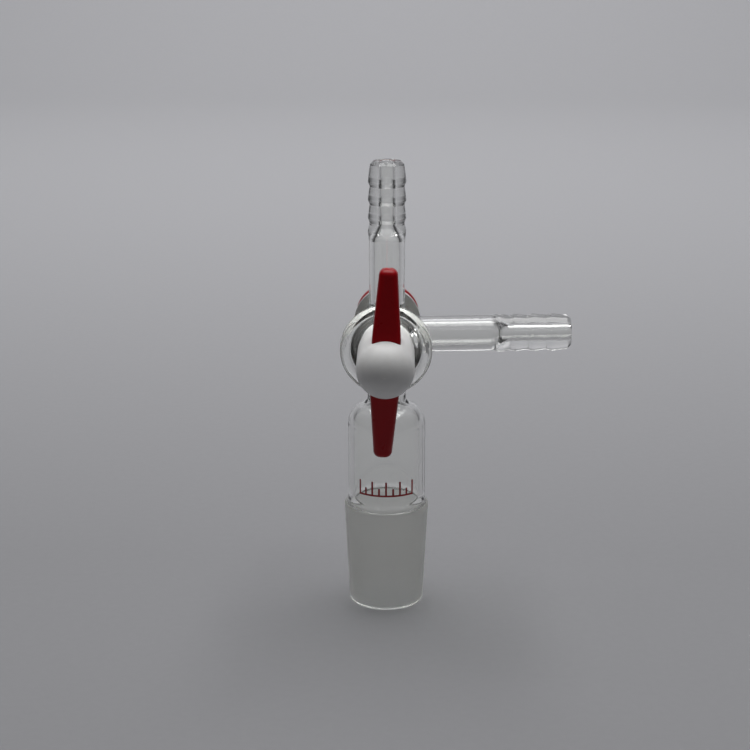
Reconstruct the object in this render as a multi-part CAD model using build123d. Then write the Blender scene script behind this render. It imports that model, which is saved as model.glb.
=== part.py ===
"""Three-way glass stopcock on a ground cone, in millimetres, standing on the cone's small end.

The neck and the top hose tail lie on Z, the barrel lies along Y with its mouth to -Y, and the side hose
tail points to +X. The white plug turns in the barrel, and the nut at +Y draws it into its taper.
"""
from build123d import *
from math import cos, radians, sin, sqrt
import os

# Ground cone 24/29: large end, length and a taper of 1 in 10 on the diameter
CONE_LARGE_DIAMETER = 24.0
CONE_LENGTH = 29.0
CONE_TAPER = 0.1
FOOT_ROUND = 0.6
STEM_WALL = 1.8

# Wide tube above the cone, its shoulder and the neck
TUBE_DIAMETER = 22.0
TUBE_TOP = 53.2
CONE_SHOULDER_RADIUS = 1.0
SHOULDER_RADIUS = 6.5
NECK_BEND_RADIUS = 2.0
NECK_DIAMETER = 10.8

# Barrel: its axis height, its ends along Y, its mouth lip and its back flange
BARREL_HEIGHT = 79.3
MOUTH_Y = -17.0
BACK_Y = 16.5
BORE_DIAMETER = 11.7  # at the port
BORE_TAPER = 0.2  # on the diameter
BARREL_WALL = 3.1
LIP_DIAMETER = 25.2
LIP_WALL = 2.6
LIP_ROUND = 1.2
LIP_LENGTH = 4.0
LIP_NECKING_RADIUS = 2.0
FUNNEL_RADIUS = 2.0
FUNNEL_END_GAIN = 2.5  # wider than the bore at the port
FLANGE_DIAMETER = 19.1
FLANGE_FOOT_Y = 12.6
FLANGE_BEND_RADIUS = 1.0
FLANGE_ROUND = 0.6
JOINT_FILLET = 1.4

# Hose tails, one up and one to the side: lengths from the barrel's axis
TOP_TAIL_LENGTH = 48.9
SIDE_TAIL_LENGTH = 51.3
SIDE_TAIL_RISE = 1.2  # degrees
TAIL_DIAMETER = 10.0
TAIL_WALL = 1.6
TIP_DIAMETER = 9.4
TIP_BORE_DIAMETER = 3.4
TIP_ROUND = 0.9
RIDGE_DIAMETER = 10.6
WAIST_DIAMETER = 9.6
RIDGE_COUNT = 3
RIDGE_PITCH = 5.05
FIRST_RIDGE = 5.6
RIDGE_FALL = 1.3
BULGE_RISE = 2.4
BULGE_FALL = 2.6
BARB_ROUND = 0.5
PORT_DIAMETER = 4.0
PORT_DEPTH = 2.0

# Plug
RUNNING_CLEARANCE = 0.05
PLUG_SETBACK = 0.6
HEAD_DIAMETER = 15.4
HEAD_DOME_Y = -34.8
PLUG_REST_TURN = 1.7  # degrees, the handle's top leans towards the side tail
THREAD_SHOULDER = 0.46  # step from the taper's small end down to the thread
THREAD_END_Y = 30.2
THREAD_CHAMFER = 0.6
FLAT_DEPTH = 0.6

# Handle through the head
HANDLE_Y = -30.6
HANDLE_TIP_Y = -29.3
HANDLE_SPAN = 51.4
HANDLE_ROOT_WIDTH = 7.55
HANDLE_ROOT_DEPTH = 9.0
HANDLE_TIP_WIDTH = 4.75
HANDLE_TIP_DEPTH = 5.0
HANDLE_EDGE_ROUND = 1.0
HANDLE_TIP_CORNER = 2.0
HANDLE_TIP_ROUND = 1.8

# Washer, O-ring and nut on the threaded end
WASHER_DIAMETER = 18.6
WASHER_THICKNESS = 1.5
WASHER_ROUND = 0.25
RING_SECTION = 2.4
SEAT_GAP = 0.03
NUT_FLANGE_DIAMETER = 18.4
NUT_FLANGE_LENGTH = 2.3
NUT_FLANGE_ROUND = 0.5
NUT_GRIP_DIAMETER = 15.0
NUT_GRIP_LENGTH = 6.3
NUT_BORE_CHAMFER = 0.5
KNURL_COUNT = 24
KNURL_GROOVE_RADIUS = 0.6

BARREL_AXIS = Plane(origin=(0, 0, BARREL_HEIGHT), x_dir=(1, 0, 0), z_dir=(0, 1, 0))
TOP_AXIS = Plane(origin=(0, 0, BARREL_HEIGHT))
RISE = radians(SIDE_TAIL_RISE)
SIDE_AXIS = Plane(origin=(0, 0, BARREL_HEIGHT), x_dir=(0, 1, 0), z_dir=(cos(RISE), 0, sin(RISE)))

OVERCUT = 1.0


def turned(outline):
    """Solid of revolution about Z from a closed outline of (radius, height)."""
    return revolve(Plane.XZ * make_face(outline), Axis.Z)


def cut(body, cutters):
    """Body with each cutter taken out of it in turn."""
    for cutter in cutters:
        body -= cutter
    return body


def step(start_radius, end_radius, height, first_bend, second_bend):
    """Two tangent arcs that carry a wall to another radius, and the height where they end."""
    reach = first_bend + second_bend
    rise = sqrt(reach**2 - (reach - abs(end_radius - start_radius)) ** 2)
    share = first_bend / reach
    middle = (start_radius + (end_radius - start_radius) * share, height + rise * share)
    first = TangentArc((start_radius, height), middle, tangent=(0, 1))
    second = TangentArc(middle, (end_radius, height + rise), tangent=first % 1)
    return [first, second], height + rise


def on_plug(shape):
    """Shape turned with the plug to where it rests."""
    return shape.rotate(Axis((0, 0, BARREL_HEIGHT), (0, 1, 0)), PLUG_REST_TURN)


def swell(start, end):
    """Two equal tangent arcs between two points of a wall that runs along the axis at both."""
    middle = (Vector(start) + Vector(end)) / 2
    first = TangentArc(start, middle, tangent=(0, 1))
    return [first, TangentArc(middle, end, tangent=first % 1)]


def bore_radius(y):
    """Radius of the barrel's tapered bore at a place along its axis."""
    return (BORE_DIAMETER - BORE_TAPER * y) / 2


def cone_radius(height):
    """Outer radius of the ground cone at a height."""
    return (CONE_LARGE_DIAMETER - CONE_TAPER * (CONE_LENGTH - height)) / 2


def stem_outline(wall):
    """Outline of the cone, wide tube, shoulder and neck, a wall's thickness inside the outer surface."""
    cone_top = cone_radius(CONE_LENGTH) - wall
    tube = TUBE_DIAMETER / 2 - wall
    neck = NECK_DIAMETER / 2 - wall
    cone_bend = CONE_SHOULDER_RADIUS + 2 * wall
    low_step, tube_start = step(cone_top, tube, CONE_LENGTH, cone_bend, CONE_SHOULDER_RADIUS + wall)
    high_step, neck_start = step(tube, neck, TUBE_TOP, SHOULDER_RADIUS - wall, NECK_BEND_RADIUS + wall)
    cone = Line((cone_radius(FOOT_ROUND) - wall, FOOT_ROUND), (cone_top, CONE_LENGTH))
    straight = Line((tube, tube_start), (tube, TUBE_TOP))
    return [cone, *low_step, straight, *high_step], (neck, neck_start)


def stem_body():
    """Cone, wide tube, shoulder and neck as one solid, up to the barrel's axis."""
    walls, (neck, neck_start) = stem_outline(0)
    foot = cone_radius(FOOT_ROUND)
    sole = Line((0, 0), (foot - FOOT_ROUND, 0))
    edge = TangentArc(sole @ 1, (foot, FOOT_ROUND), tangent=(1, 0))
    close = Polyline((neck, neck_start), (neck, BARREL_HEIGHT), (0, BARREL_HEIGHT), (0, 0))
    return turned([sole, edge, *walls, close])


def stem_hollow():
    """Space inside the cone, wide tube and neck, with the port into the barrel."""
    walls, (neck, neck_start) = stem_outline(STEM_WALL)
    foot = cone_radius(FOOT_ROUND) - STEM_WALL
    way_in = Polyline((0, -OVERCUT), (foot + FOOT_ROUND, -OVERCUT), (foot + FOOT_ROUND, 0))
    edge = TangentArc(way_in @ 1, (foot, FOOT_ROUND), tangent=(-1, 0))
    port = PORT_DIAMETER / 2
    port_start = BARREL_HEIGHT - barrel_radius(0)
    close = Polyline(
        (neck, neck_start),
        (neck, port_start),
        (port, port_start + PORT_DEPTH),
        (port, BARREL_HEIGHT),
        (0, BARREL_HEIGHT),
        (0, -OVERCUT),
    )
    return turned([way_in, edge, *walls, close])


SMALL_END_Y = BACK_Y - PLUG_SETBACK
SMALL_END_RADIUS = bore_radius(SMALL_END_Y) - RUNNING_CLEARANCE
THREAD_DIAMETER = 2 * (SMALL_END_RADIUS - THREAD_SHOULDER)
FLATS_WIDTH = THREAD_DIAMETER - 2 * FLAT_DEPTH


def barrel_radius(y):
    """Outer radius of the tapered barrel between its lip and its flange."""
    return bore_radius(y) + BARREL_WALL


def barrel_body():
    """Barrel without its bore: rounded lip, tapered body and back flange."""
    lip = LIP_DIAMETER / 2
    flange = FLANGE_DIAMETER / 2
    body_front = barrel_radius(MOUTH_Y + LIP_LENGTH)
    body_back = barrel_radius(FLANGE_FOOT_Y)
    lip_step, _ = step(lip, body_front, MOUTH_Y + LIP_ROUND, LIP_ROUND, LIP_NECKING_RADIUS)
    flange_step, flange_full = step(
        body_back, flange, FLANGE_FOOT_Y, FLANGE_BEND_RADIUS, FLANGE_BEND_RADIUS
    )
    front = Line((0, MOUTH_Y), (lip - LIP_ROUND, MOUTH_Y))
    edge = TangentArc(front @ 1, (lip, MOUTH_Y + LIP_ROUND), tangent=(1, 0))
    body = Line(lip_step[-1] @ 1, flange_step[0] @ 0)
    rim = Line((flange, flange_full), (flange, BACK_Y - FLANGE_ROUND))
    back_edge = TangentArc(rim @ 1, (flange - FLANGE_ROUND, BACK_Y), tangent=(0, 1))
    close = Polyline(back_edge @ 1, (0, BACK_Y), (0, MOUTH_Y))
    return BARREL_AXIS * turned([front, edge, *lip_step, body, *flange_step, rim, back_edge, close])


def barrel_hollow():
    """Space inside the barrel: rounded lip, funnel and tapered bore."""
    mouth = LIP_DIAMETER / 2 - LIP_WALL
    lip_land = mouth + LIP_ROUND
    way_in = Polyline((0, MOUTH_Y - OVERCUT), (lip_land, MOUTH_Y - OVERCUT), (lip_land, MOUTH_Y))
    edge = TangentArc(way_in @ 1, (mouth, MOUTH_Y + LIP_ROUND), tangent=(-1, 0))
    funnel, _ = step(
        mouth, (BORE_DIAMETER + FUNNEL_END_GAIN) / 2, MOUTH_Y + LIP_ROUND, FUNNEL_RADIUS, FUNNEL_RADIUS
    )
    close = Polyline(
        funnel[-1] @ 1,
        (bore_radius(BACK_Y), BACK_Y),
        (bore_radius(BACK_Y), BACK_Y + OVERCUT),
        (0, BACK_Y + OVERCUT),
        (0, MOUTH_Y - OVERCUT),
    )
    return BARREL_AXIS * turned([way_in, edge, *funnel, close])


def barb_wall(length):
    """Outer wall of a hose tail: plain tube, a bulge, saw-tooth ridges and the rounded tip."""
    ridges = [length - FIRST_RIDGE - RIDGE_PITCH * i for i in range(RIDGE_COUNT)]
    waists = [ridge - RIDGE_FALL for ridge in ridges]
    bulge = waists[-1] - BULGE_RISE
    ridge_radius = RIDGE_DIAMETER / 2
    waist_radius = WAIST_DIAMETER / 2
    points = [(TAIL_DIAMETER / 2, 0), (TAIL_DIAMETER / 2, bulge - BULGE_FALL), (ridge_radius, bulge)]
    for waist, ridge in zip(reversed(waists), reversed(ridges)):
        points += [(waist_radius, waist), (ridge_radius, ridge)]
    points += [(TIP_DIAMETER / 2, length - TIP_ROUND), (TIP_DIAMETER / 2 - TIP_ROUND, length)]
    return FilletPolyline(*points, radius=BARB_ROUND)


def tail_body(axis, length):
    """Solid hose tail from the barrel's axis to its rounded tip."""
    wall = barb_wall(length)
    close = Polyline(wall @ 1, (0, length), (0, 0), wall @ 0)
    return axis * turned([*wall.edges(), close])


def tail_hollow(axis, length):
    """Bore of a hose tail: the port, the tube's bore and the narrow bore through the barb."""
    port = PORT_DIAMETER / 2
    bore = TAIL_DIAMETER / 2 - TAIL_WALL
    tip = TIP_BORE_DIAMETER / 2
    port_end = barrel_radius(0)
    barb_start = length - FIRST_RIDGE - RIDGE_PITCH * (RIDGE_COUNT - 1) - RIDGE_FALL - BULGE_RISE
    inlet = Polyline((0, 0), (port, 0), (port, port_end - PORT_DEPTH), (bore, port_end))
    tube = Line(inlet @ 1, (bore, barb_start - BULGE_FALL))
    narrowing = swell(tube @ 1, (tip, barb_start + BULGE_RISE))
    barb = Line(narrowing[-1] @ 1, (tip, length - TIP_ROUND))
    mouth = TangentArc(barb @ 1, (tip + TIP_ROUND, length), tangent=(0, 1))
    close = Polyline(mouth @ 1, (tip + TIP_ROUND, length + OVERCUT), (0, length + OVERCUT), (0, 0))
    return axis * turned([inlet, tube, *narrowing, barb, mouth, close])


def joint_fillet():
    """Fillet where the tubes meet the barrel, limited by the wall of the barrel between the two tails."""
    tail = TAIL_DIAMETER / 2
    room = sqrt(2) * (sqrt(barrel_radius(0) ** 2 - tail**2) - tail)
    return min(JOINT_FILLET, 0.45 * room)


def make_glass_body():
    """Barrel with its neck, cone and two hose tails, fused into one piece of glass."""
    barrel = barrel_body()
    tubes = [stem_body(), tail_body(TOP_AXIS, TOP_TAIL_LENGTH), tail_body(SIDE_AXIS, SIDE_TAIL_LENGTH)]
    outside = barrel + tubes
    outside = fillet(new_edges(barrel, *tubes, combined=outside), joint_fillet())
    bores = [
        barrel_hollow(),
        stem_hollow(),
        tail_hollow(TOP_AXIS, TOP_TAIL_LENGTH),
        tail_hollow(SIDE_AXIS, SIDE_TAIL_LENGTH),
    ]
    return cut(outside, bores)


def handle_hub(allowance):
    """Straight middle of the handle, through the head, grown on every side by an allowance."""
    section = RectangleRounded(
        HANDLE_ROOT_WIDTH + 2 * allowance,
        HANDLE_ROOT_DEPTH + 2 * allowance,
        HANDLE_EDGE_ROUND + allowance,
    )
    hub = extrude(section, HEAD_DIAMETER / 2, both=True)
    return Pos(0, HANDLE_Y, BARREL_HEIGHT) * hub


def flatted(diameter, width, length):
    """Cylinder along Z from the origin with two flats that face +X and -X."""
    block = Box(width, diameter, length, align=(Align.CENTER, Align.CENTER, Align.MIN))
    return block & Cylinder(diameter / 2, length, align=(Align.CENTER, Align.CENTER, Align.MIN))


def threaded_end(start_y):
    """Flatted shank with a chamfered end, from a place on the barrel's axis."""
    thread = THREAD_DIAMETER / 2
    outline = Polyline(
        (0, start_y),
        (thread, start_y),
        (thread, THREAD_END_Y - THREAD_CHAMFER),
        (thread - THREAD_CHAMFER, THREAD_END_Y),
        (0, THREAD_END_Y),
        (0, start_y),
    )
    return BARREL_AXIS * (turned([outline]) & Box(FLATS_WIDTH, THREAD_DIAMETER, 2 * THREAD_END_Y))


def make_plug():
    """Plug: domed head, taper that fits the bore, flatted threaded end and T-bore."""
    head = HEAD_DIAMETER / 2
    neck_y = (BORE_DIAMETER - 2 * RUNNING_CLEARANCE - HEAD_DIAMETER) / BORE_TAPER
    dome = TangentArc((0, HEAD_DOME_Y - head), (head, HEAD_DOME_Y), tangent=(1, 0))
    outline = Polyline(
        (head, HEAD_DOME_Y),
        (head, neck_y),
        (SMALL_END_RADIUS, SMALL_END_Y),
        (0, SMALL_END_Y),
        (0, HEAD_DOME_Y - head),
    )
    body = BARREL_AXIS * turned([dome, outline]) + threaded_end(SMALL_END_Y - OVERCUT)
    port = PORT_DIAMETER / 2
    through = Pos(0, 0, BARREL_HEIGHT) * Cylinder(port, HEAD_DIAMETER)
    branch = SIDE_AXIS * Cylinder(port, HEAD_DIAMETER, align=(Align.CENTER, Align.CENTER, Align.MIN))
    return on_plug(cut(body, [through, branch, handle_hub(RUNNING_CLEARANCE)]))


def handle_arm():
    """One arm of the handle, up from the top of the head, with a rounded tip."""
    tip_corner = min(HANDLE_TIP_CORNER, 0.45 * HANDLE_TIP_WIDTH, 0.45 * HANDLE_TIP_DEPTH)
    root = RectangleRounded(HANDLE_ROOT_WIDTH, HANDLE_ROOT_DEPTH, HANDLE_EDGE_ROUND)
    tip = RectangleRounded(HANDLE_TIP_WIDTH, HANDLE_TIP_DEPTH, tip_corner)
    arm = loft([Pos(0, 0, HEAD_DIAMETER / 2) * root, Pos(0, HANDLE_TIP_Y - HANDLE_Y, HANDLE_SPAN / 2) * tip])
    return fillet(arm.edges().group_by(Axis.Z)[-1], min(HANDLE_TIP_ROUND, 0.95 * tip_corner))


def make_handle():
    """Handle: a straight hub in the head's slot and two tapered arms."""
    arm = Pos(0, HANDLE_Y, BARREL_HEIGHT) * handle_arm()
    other_arm = arm.rotate(Axis((0, 0, BARREL_HEIGHT), (0, 1, 0)), 180)
    return on_plug(handle_hub(0) + arm + other_arm)


def make_washer():
    """Washer behind the barrel, with a hole that fits the flats of the threaded end."""
    disc = Cylinder(WASHER_DIAMETER / 2, WASHER_THICKNESS, align=(Align.CENTER, Align.CENTER, Align.MIN))
    disc = fillet(disc.edges().filter_by(GeomType.CIRCLE), WASHER_ROUND)
    grown = 2 * RUNNING_CLEARANCE
    hole = flatted(THREAD_DIAMETER + grown, FLATS_WIDTH + grown, WASHER_THICKNESS)
    return on_plug(BARREL_AXIS * Pos(0, 0, BACK_Y) * (disc - hole))


def make_o_ring():
    """Rubber ring round the threaded end, between the washer and the nut."""
    centre_radius = THREAD_DIAMETER / 2 + RUNNING_CLEARANCE + RING_SECTION / 2
    y = BACK_Y + WASHER_THICKNESS + SEAT_GAP + RING_SECTION / 2
    return BARREL_AXIS * Pos(0, 0, y) * Torus(centre_radius, RING_SECTION / 2)


def make_nut():
    """Nut: a round flange, a knurled grip and a bore for the thread."""
    flange = NUT_FLANGE_DIAMETER / 2
    grip = NUT_GRIP_DIAMETER / 2
    bore = THREAD_DIAMETER / 2 + RUNNING_CLEARANCE
    length = NUT_FLANGE_LENGTH + NUT_GRIP_LENGTH
    outline = Polyline(
        (bore + NUT_BORE_CHAMFER, 0),
        (flange - NUT_FLANGE_ROUND, 0),
        (flange, NUT_FLANGE_ROUND),
        (flange, NUT_FLANGE_LENGTH - NUT_FLANGE_ROUND),
        (flange - NUT_FLANGE_ROUND, NUT_FLANGE_LENGTH),
        (grip, NUT_FLANGE_LENGTH),
        (grip, length - NUT_FLANGE_ROUND),
        (grip - NUT_FLANGE_ROUND, length),
        (bore + NUT_BORE_CHAMFER, length),
        (bore, length - NUT_BORE_CHAMFER),
        (bore, NUT_BORE_CHAMFER),
        (bore + NUT_BORE_CHAMFER, 0),
    )
    grooves = [
        Rot(0, 0, 360 * i / KNURL_COUNT)
        * Pos(grip + KNURL_GROOVE_RADIUS / 3, 0, NUT_FLANGE_LENGTH)
        * Cylinder(KNURL_GROOVE_RADIUS, length, align=(Align.CENTER, Align.CENTER, Align.MIN))
        for i in range(KNURL_COUNT)
    ]
    y = BACK_Y + WASHER_THICKNESS + RING_SECTION + 2 * SEAT_GAP
    return BARREL_AXIS * Pos(0, 0, y) * (turned([outline]) - grooves)


NODES = {
    "glass_body": make_glass_body,
    "plug": make_plug,
    "handle": make_handle,
    "washer": make_washer,
    "o_ring": make_o_ring,
    "nut": make_nut,
}

os.makedirs("parts", exist_ok=True)
for name, make in NODES.items():
    export_step(make(), f"parts/{name}.step")
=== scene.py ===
"""Looks, light and camera for the glass stopcock, in metres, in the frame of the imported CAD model.

The glass stands on a pale seamless sweep under a large overhead light. Every CAD node keeps its mesh and
gets a procedural material. The enamel mark is an added piece, and the thread on the plug's end is bump.
"""
import bpy
from math import cos, pi, radians, sin
from mathutils import Matrix, Vector


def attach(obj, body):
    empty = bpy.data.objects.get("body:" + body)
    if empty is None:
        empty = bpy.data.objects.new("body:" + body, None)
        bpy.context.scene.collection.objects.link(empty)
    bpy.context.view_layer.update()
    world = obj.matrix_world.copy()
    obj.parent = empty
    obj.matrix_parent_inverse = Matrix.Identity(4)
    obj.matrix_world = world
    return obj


MM = 0.001

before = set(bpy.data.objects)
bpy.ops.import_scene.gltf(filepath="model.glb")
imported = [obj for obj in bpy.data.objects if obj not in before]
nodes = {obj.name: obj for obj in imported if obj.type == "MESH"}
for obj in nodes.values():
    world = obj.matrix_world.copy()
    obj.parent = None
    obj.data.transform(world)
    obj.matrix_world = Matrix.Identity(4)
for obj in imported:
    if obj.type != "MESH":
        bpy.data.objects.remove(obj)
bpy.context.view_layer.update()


# ---------------------------------------------------------------- node helpers

class Tree:
    """A material's node tree, with short calls that add one linked node each."""

    def __init__(self, name):
        self.material = bpy.data.materials.new(name)
        self.material.use_nodes = True
        self.nodes = self.material.node_tree.nodes
        self.links = self.material.node_tree.links
        self.nodes.clear()
        self.output = self.nodes.new("ShaderNodeOutputMaterial")

    def put(self, socket, value):
        """Link a socket to another socket's output, or set its value."""
        if isinstance(value, bpy.types.NodeSocket):
            self.links.new(value, socket)
        elif value is not None:
            socket.default_value = value

    def node(self, kind, inputs=None, **settings):
        """Add a node of a kind with its settings and inputs by name or number."""
        new = self.nodes.new("ShaderNode" + kind)
        for key, value in settings.items():
            setattr(new, key, value)
        for key, value in (inputs or {}).items():
            self.put(new.inputs[key], value)
        return new

    def place(self):
        """Position on the object in metres, the same in every pose."""
        return self.node("TexCoord").outputs["Object"]

    def math(self, operation, first, second=None, clamp=False):
        """One arithmetic step on one or two values."""
        new = self.node("Math", {0: first, 1: second}, operation=operation, use_clamp=clamp)
        return new.outputs[0]

    def ramp(self, value, low, high, start=0.0, end=1.0):
        """Value carried smoothly from start to end as it passes from low to high."""
        new = self.node(
            "MapRange",
            {"Value": value, "From Min": low, "From Max": high, "To Min": start, "To Max": end},
            interpolation_type="SMOOTHSTEP",
        )
        return new.outputs["Result"]

    def noise(self, scale, detail=3.0, roughness=0.5, vector=None):
        """Noise value at a number of waves per metre."""
        new = self.node(
            "TexNoise",
            {"Vector": vector or self.place(), "Scale": scale, "Detail": detail, "Roughness": roughness},
        )
        return new.outputs["Fac"]

    def blend(self, share, first, second):
        """Colour between two colours."""
        new = self.node("Mix", data_type="RGBA")
        self.put(new.inputs["Factor"], share)
        self.put(new.inputs[6], first)
        self.put(new.inputs[7], second)
        return new.outputs[2]

    def bump(self, height, depth, below=None):
        """Normal from a height value, with its full depth in metres."""
        new = self.node("Bump", {"Height": height, "Distance": depth, "Strength": 1.0})
        self.put(new.inputs["Normal"], below)
        return new.outputs["Normal"]

    def finish(self, shader):
        """Connect a shader to the output and return the material."""
        self.links.new(shader.outputs[0], self.output.inputs["Surface"])
        return self.material


# ---------------------------------------------------------------- materials

CLEAR_TINT = (0.985, 0.99, 0.975, 1)
GROUND_TINT = (0.80, 0.80, 0.775, 1)
GLASS_IOR = 1.474
GROUND_TOP = 29.7 * MM
GROUND_BOTTOM = 0.7 * MM
GROUND_SKIN = 0.8 * MM
CONE_FOOT_RADIUS = 10.55 * MM
CONE_SLOPE = 0.05
GRAIN_WAVES = 9000  # a metre, on the ground face
DRAWING_WAVES = 160  # a metre, on the drawn tube
GLASS_BUMP = 0.02 * MM
GROUND_TRANSMISSION = 0.82
CLEAR_SHADOW = (0.88, 0.89, 0.88, 1)
GROUND_SHADOW = (0.4, 0.4, 0.4, 1)


def ground_mask(tree):
    """One on the outer face of the ground cone, nought on the clear glass."""
    place = tree.node("SeparateXYZ", {0: tree.place()})
    x, y, z = place.outputs
    radius = tree.math("SQRT", tree.math("ADD", tree.math("MULTIPLY", x, x), tree.math("MULTIPLY", y, y)))
    skin = tree.math("ADD", tree.math("MULTIPLY", z, CONE_SLOPE), CONE_FOOT_RADIUS - GROUND_SKIN)
    outside = tree.math("GREATER_THAN", radius, skin)
    below = tree.ramp(z, GROUND_TOP, GROUND_TOP + 0.3 * MM, 1, 0)
    above = tree.ramp(z, GROUND_BOTTOM, GROUND_BOTTOM + 0.3 * MM)
    return tree.math("MULTIPLY", outside, tree.math("MULTIPLY", below, above))


def glass_material():
    """Clear borosilicate glass with faint drawing waves, and a finely ground cone."""
    tree = Tree("glass")
    mask = ground_mask(tree)
    grain = tree.noise(GRAIN_WAVES, 2)
    waves = tree.noise(DRAWING_WAVES, 1)
    rough = tree.math("MULTIPLY", mask, tree.ramp(grain, 0.3, 0.7, 0.42, 0.55))
    depth = tree.math("ADD", tree.math("MULTIPLY", mask, grain), tree.math("MULTIPLY", waves, 0.6))
    glass = tree.node(
        "BsdfPrincipled",
        {
            "Base Color": tree.blend(mask, CLEAR_TINT, GROUND_TINT),
            "Roughness": rough,
            "Transmission Weight": tree.ramp(mask, 0, 1, 1.0, GROUND_TRANSMISSION),
            "Normal": tree.bump(depth, GLASS_BUMP),
        },
    )
    glass.inputs["IOR"].default_value = GLASS_IOR
    shadow = tree.node("LightPath").outputs["Is Shadow Ray"]
    through = tree.node("BsdfTransparent", {"Color": tree.blend(mask, CLEAR_SHADOW, GROUND_SHADOW)})
    mixed = tree.node("MixShader", {0: shadow, 1: glass.outputs[0], 2: through.outputs[0]})
    return tree.finish(mixed)


PTFE_DARK = (0.74, 0.735, 0.73, 1)
PTFE_LIGHT = (0.80, 0.795, 0.79, 1)
THREAD_START = 19 * MM
THREAD_PITCH = 1.5 * MM
THREAD_CUT = 0.25 * MM
BARREL_HEIGHT = 79.3 * MM


def thread_height(tree):
    """Height of the screw thread on the plug's end, nought on the rest of the plug."""
    x, y, z = tree.node("SeparateXYZ", {0: tree.place()}).outputs
    around = tree.math("ARCTAN2", tree.math("SUBTRACT", z, BARREL_HEIGHT), x)
    along = tree.math("MULTIPLY", y, 2 * pi / THREAD_PITCH)
    wave = tree.math("SINE", tree.math("ADD", along, around))
    return tree.math("MULTIPLY", wave, tree.math("GREATER_THAN", y, THREAD_START))


def ptfe_material():
    """Waxy white PTFE with faint turning rings, a little mottling and a thread on the plug's end."""
    tree = Tree("ptfe")
    thread = tree.bump(thread_height(tree), THREAD_CUT)
    rings = tree.node(
        "TexWave",
        {"Vector": tree.place(), "Scale": 900, "Distortion": 0.6, "Detail": 2},
        wave_type="BANDS",
        bands_direction="Y",
    )
    mottle = tree.noise(500, 4)
    colour = tree.blend(mottle, PTFE_DARK, PTFE_LIGHT)
    shader = tree.node(
        "BsdfPrincipled",
        {
            "Base Color": colour,
            "Roughness": tree.ramp(mottle, 0.2, 0.8, 0.42, 0.55),
            "Normal": tree.bump(rings.outputs["Fac"], 0.004 * MM, thread),
        },
    )
    shader.inputs["Subsurface Weight"].default_value = 0.15
    shader.inputs["Subsurface Radius"].default_value = (1.0, 0.9, 0.85)
    shader.inputs["Subsurface Scale"].default_value = 0.8 * MM
    return tree.finish(shader)


RED_DARK = (0.30, 0.0015, 0.005, 1)
RED_LIGHT = (0.35, 0.002, 0.006, 1)


def red_material():
    """Red moulded plastic with a fine spark texture and a soft gloss."""
    tree = Tree("red_plastic")
    texture = tree.noise(3500, 3)
    patches = tree.noise(220, 2)
    colour = tree.blend(patches, RED_DARK, RED_LIGHT)
    shader = tree.node(
        "BsdfPrincipled",
        {
            "Base Color": colour,
            "Roughness": tree.ramp(patches, 0.2, 0.8, 0.26, 0.34),
            "Normal": tree.bump(texture, 0.005 * MM),
        },
    )
    shader.inputs["Specular IOR Level"].default_value = 0.22
    return tree.finish(shader)


def rubber_material():
    """Black rubber with a dull skin."""
    tree = Tree("rubber")
    skin = tree.noise(2500, 3)
    shader = tree.node(
        "BsdfPrincipled",
        {
            "Base Color": tree.blend(skin, (0.018, 0.018, 0.018, 1), (0.035, 0.035, 0.035, 1)),
            "Roughness": tree.ramp(skin, 0.2, 0.8, 0.5, 0.7),
            "Normal": tree.bump(skin, 0.01 * MM),
        },
    )
    return tree.finish(shader)


def enamel_material():
    """Fired red enamel."""
    tree = Tree("enamel")
    speckle = tree.noise(4000, 3)
    shader = tree.node(
        "BsdfPrincipled",
        {
            "Base Color": tree.blend(speckle, (0.33, 0.012, 0.012, 1), (0.42, 0.02, 0.018, 1)),
            "Roughness": 0.5,
            "Normal": tree.bump(speckle, 0.01 * MM),
        },
    )
    return tree.finish(shader)


PAPER_DARK = (0.250, 0.250, 0.262, 1)
PAPER_LIGHT = (0.266, 0.266, 0.278, 1)


def sweep_material():
    """Pale grey paper of the floor and backdrop."""
    tree = Tree("sweep_paper")
    fibre = tree.noise(400, 4)
    shader = tree.node(
        "BsdfPrincipled",
        {"Base Color": tree.blend(fibre, PAPER_DARK, PAPER_LIGHT), "Roughness": 0.75},
    )
    shader.inputs["Specular IOR Level"].default_value = 0.3
    return tree.finish(shader)


def dress(name, material):
    """Give a CAD node its material."""
    mesh = nodes[name].data
    mesh.materials.clear()
    mesh.materials.append(material)


# ---------------------------------------------------------------- added pieces

def new_object(name, verts, faces, material, smooth=True):
    """Mesh object from vertices and faces, shaded smooth or flat."""
    mesh = bpy.data.meshes.new(name)
    mesh.from_pydata(verts, [], faces)
    mesh.polygons.foreach_set("use_smooth", [smooth] * len(mesh.polygons))
    mesh.materials.append(material)
    mesh.update()
    piece = bpy.data.objects.new(name, mesh)
    bpy.context.scene.collection.objects.link(piece)
    return piece


TUBE_RADIUS = 11.0 * MM
MARK_HEIGHT = 37.0 * MM
MARK_WIDTH = 16.5 * MM
MARK_TALL = 4.4 * MM
MARK_SHORT = 2.4 * MM
MARK_STROKE = 0.55 * MM
MARK_TICKS = 9
ENAMEL = 0.03 * MM


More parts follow.
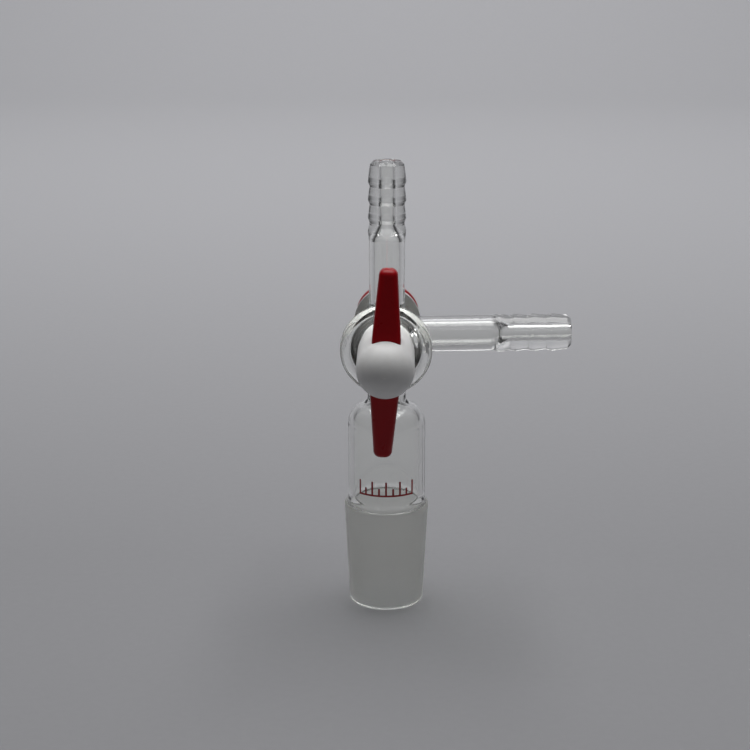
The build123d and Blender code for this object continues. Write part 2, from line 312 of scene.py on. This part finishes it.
def mark_bar(verts, faces, left, right, low, high):
    """Add one curved bar of enamel to the mark: x along the tube's front, then z."""
    steps = max(2, int((right - left) / (0.4 * MM)) + 1)
    base = len(verts)
    for radius in (TUBE_RADIUS + 0.005 * MM, TUBE_RADIUS + ENAMEL):
        for i in range(steps):
            angle = (left + (right - left) * i / (steps - 1)) / TUBE_RADIUS
            for z in (low, high):
                verts.append((radius * sin(angle), -radius * cos(angle), z))
    ring = 2 * steps
    for i in range(steps - 1):
        a = base + 2 * i
        faces.append((a + ring, a + ring + 2, a + ring + 3, a + ring + 1))
        faces.append((a, a + 1, a + 3, a + 2))
        faces.append((a, a + 2, a + ring + 2, a + ring))
        faces.append((a + 1, a + ring + 1, a + ring + 3, a + 3))
    a = base
    faces.append((a, a + ring, a + ring + 1, a + 1))
    a = base + ring - 2
    faces.append((a, a + 1, a + ring + 1, a + ring))


def enamel_mark(material):
    """A plain level scale: a line with long and short ticks standing on it."""
    verts, faces = [], []
    low = MARK_HEIGHT - MARK_TALL / 2
    half = MARK_WIDTH / 2
    mark_bar(verts, faces, -half, half, low, low + MARK_STROKE)
    for i in range(MARK_TICKS):
        left = -half + (MARK_WIDTH - MARK_STROKE) * i / (MARK_TICKS - 1)
        tall = MARK_TALL if i % 2 == 0 else MARK_SHORT
        mark_bar(verts, faces, left, left + MARK_STROKE, low + MARK_STROKE, low + tall)
    piece = new_object("enamel_mark", verts, faces, material, smooth=False)
    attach(piece, "glass")
    return piece


# ---------------------------------------------------------------- stage, light, camera

def sweep(material):
    """Floor that curves up into a backdrop, as one seamless sheet."""
    half, near, bend_y, bend_r, top = 2.2, -0.30, 1.1, 0.7, 2.6
    profile = [(near, 0.0), (bend_y, 0.0)]
    bends = 24
    for i in range(1, bends + 1):
        angle = pi / 2 * i / bends
        profile.append((bend_y + bend_r * sin(angle), bend_r * (1 - cos(angle))))
    profile.append((bend_y + bend_r, top))
    verts = [(x, y, z) for y, z in profile for x in (-half, half)]
    faces = [(2 * i, 2 * i + 1, 2 * i + 3, 2 * i + 2) for i in range(len(profile) - 1)]
    sheet = new_object("sweep", verts, faces, material)


def area_light(name, place, target, size, power, colour=(1, 1, 1)):
    """Soft rectangular lamp that faces a point."""
    lamp = bpy.data.lights.new(name, "AREA")
    lamp.shape = "RECTANGLE"
    lamp.size, lamp.size_y = size
    lamp.energy = power
    lamp.color = colour
    holder = bpy.data.objects.new(name, lamp)
    holder.location = place
    aim = Vector(target) - Vector(place)
    holder.rotation_euler = aim.to_track_quat("-Z", "Y").to_euler()
    bpy.context.scene.collection.objects.link(holder)


# Strength of the world towards the front and back, towards the sides, and where the camera sees it
ROOM_LEVEL = 0.09
SIDE_LEVEL = 0.045
BACKDROP_LEVEL = 0.16
SIDE_START = 0.3
SIDE_FULL = 0.8


def world_light():
    """Dim room: darker to the left and right than behind, and plain grey where the camera sees it."""
    world = bpy.data.worlds.new("studio")
    world.use_nodes = True
    links, added = world.node_tree.links, world.node_tree.nodes.new
    background = world.node_tree.nodes["Background"]
    direction = added("ShaderNodeSeparateXYZ")
    links.new(added("ShaderNodeTexCoord").outputs["Generated"], direction.inputs[0])
    sideways = added("ShaderNodeMath")
    sideways.operation = "ABSOLUTE"
    links.new(direction.outputs["X"], sideways.inputs[0])
    fade = added("ShaderNodeMapRange")
    fade.inputs["From Min"].default_value = SIDE_START
    fade.inputs["From Max"].default_value = SIDE_FULL
    fade.inputs["To Min"].default_value = ROOM_LEVEL
    fade.inputs["To Max"].default_value = SIDE_LEVEL
    links.new(sideways.outputs[0], fade.inputs["Value"])
    seen = added("ShaderNodeMix")
    links.new(added("ShaderNodeLightPath").outputs["Is Camera Ray"], seen.inputs["Factor"])
    links.new(fade.outputs[0], seen.inputs["A"])
    seen.inputs["B"].default_value = BACKDROP_LEVEL
    links.new(seen.outputs[0], background.inputs["Strength"])
    background.inputs["Color"].default_value = (0.98, 0.99, 1.0, 1)
    bpy.context.scene.world = world


CAMERA_DISTANCE = 0.4595
CAMERA_SIDE = -0.0033
CAMERA_HEIGHT = 0.2046
CAMERA_PITCH = radians(16.62)
CAMERA_AZIMUTH = radians(1.0)
CAMERA_LENS = 81.6


def camera():
    """Camera in front of the handle, a little above the barrel, looking slightly down."""
    data = bpy.data.cameras.new("camera")
    data.lens = CAMERA_LENS
    data.sensor_width = 36
    data.clip_start = 0.01
    holder = bpy.data.objects.new("camera", data)
    turn = Matrix.Rotation(CAMERA_AZIMUTH, 3, "Z")
    holder.location = turn @ Vector((CAMERA_SIDE, -CAMERA_DISTANCE, CAMERA_HEIGHT))
    holder.rotation_euler = (pi / 2 - CAMERA_PITCH, 0, CAMERA_AZIMUTH)
    bpy.context.scene.collection.objects.link(holder)
    bpy.context.scene.camera = holder


camera()
bpy.context.scene.view_settings.view_transform = "Standard"
world_light()
area_light("overhead", place=(0.02, 0.20, 0.95), target=(0, 0.06, 0), size=(1.0, 0.7), power=10.2)
area_light("backdrop_light", place=(0, 0.55, 1.3), target=(0, 1.8, 0.80), size=(1.6, 0.4), power=38.0)
sweep(sweep_material())

red = red_material()
ptfe = ptfe_material()
dress("glass_body", glass_material())
dress("plug", ptfe)
dress("washer", ptfe)
dress("handle", red)
dress("nut", red)
dress("o_ring", rubber_material())
enamel_mark(enamel_material())
